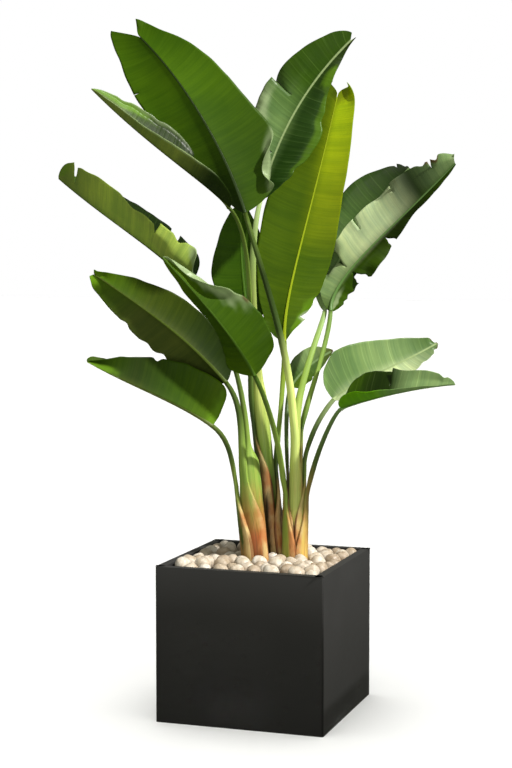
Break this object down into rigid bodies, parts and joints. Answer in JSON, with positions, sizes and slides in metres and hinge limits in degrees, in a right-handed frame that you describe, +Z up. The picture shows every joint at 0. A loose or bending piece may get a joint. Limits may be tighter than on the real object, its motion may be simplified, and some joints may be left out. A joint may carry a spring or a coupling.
{
  "type": "potted bird of paradise",
  "caption": "Bird of paradise in a square planter: clumps of tall sheathing stalks with paddle-shaped leaves, rising from soil topped with pebbles.",
  "frame": {"origin": "centre of the planter's underside, on the floor", "axes": "+X to the right along the planter's front face, +Y to its back, +Z up"},
  "size_m": [1.0586, 0.6917, 1.8183],
  "materials": {
    "planter": "matte",
    "soil": "matte",
    "pebble": "satin",
    "blade": "satin",
    "stalk": "satin"
  },
  "bodies": {
    "root": {"planter": "planter", "soil": "soil", "pebble_bed": "pebble", "pebble_01": "pebble", "pebble_02": "pebble", "pebble_03": "pebble", "pebble_04": "pebble", "pebble_05": "pebble", "pebble_06": "pebble", "pebble_07": "pebble", "pebble_08": "pebble", "pebble_09": "pebble", "pebble_10": "pebble", "pebble_11": "pebble", "pebble_12": "pebble", "pebble_13": "pebble", "pebble_14": "pebble", "pebble_15": "pebble", "pebble_16": "pebble", "pebble_17": "pebble", "pebble_18": "pebble", "pebble_19": "pebble", "pebble_20": "pebble", "pebble_21": "pebble", "pebble_22": "pebble", "pebble_23": "pebble", "pebble_24": "pebble", "pebble_25": "pebble", "pebble_26": "pebble", "pebble_27": "pebble", "stalk_top_centre": "stalk", "stalk_upper_left": "stalk", "stalk_tall_centre": "stalk", "stalk_centre_rear": "stalk", "stalk_lower_left": "stalk", "stalk_middle_left": "stalk", "stalk_bottom_left": "stalk", "stalk_upper_right_rear": "stalk", "stalk_upper_right": "stalk", "stalk_top_left": "stalk", "stalk_small_rear": "stalk", "stalk_middle_right": "stalk", "stalk_bottom_right": "stalk", "stalk_front_left": "stalk", "blade_top_centre": "blade", "blade_upper_left": "blade", "blade_tall_centre": "blade", "blade_centre_rear": "blade", "blade_lower_left": "blade", "blade_middle_left": "blade", "blade_bottom_left": "blade", "blade_upper_right_rear": "blade", "blade_upper_right": "blade", "blade_top_left": "blade", "blade_small_rear": "blade", "blade_middle_right": "blade", "blade_bottom_right": "blade", "blade_front_left": "blade"}
  },
  "joints": []
}
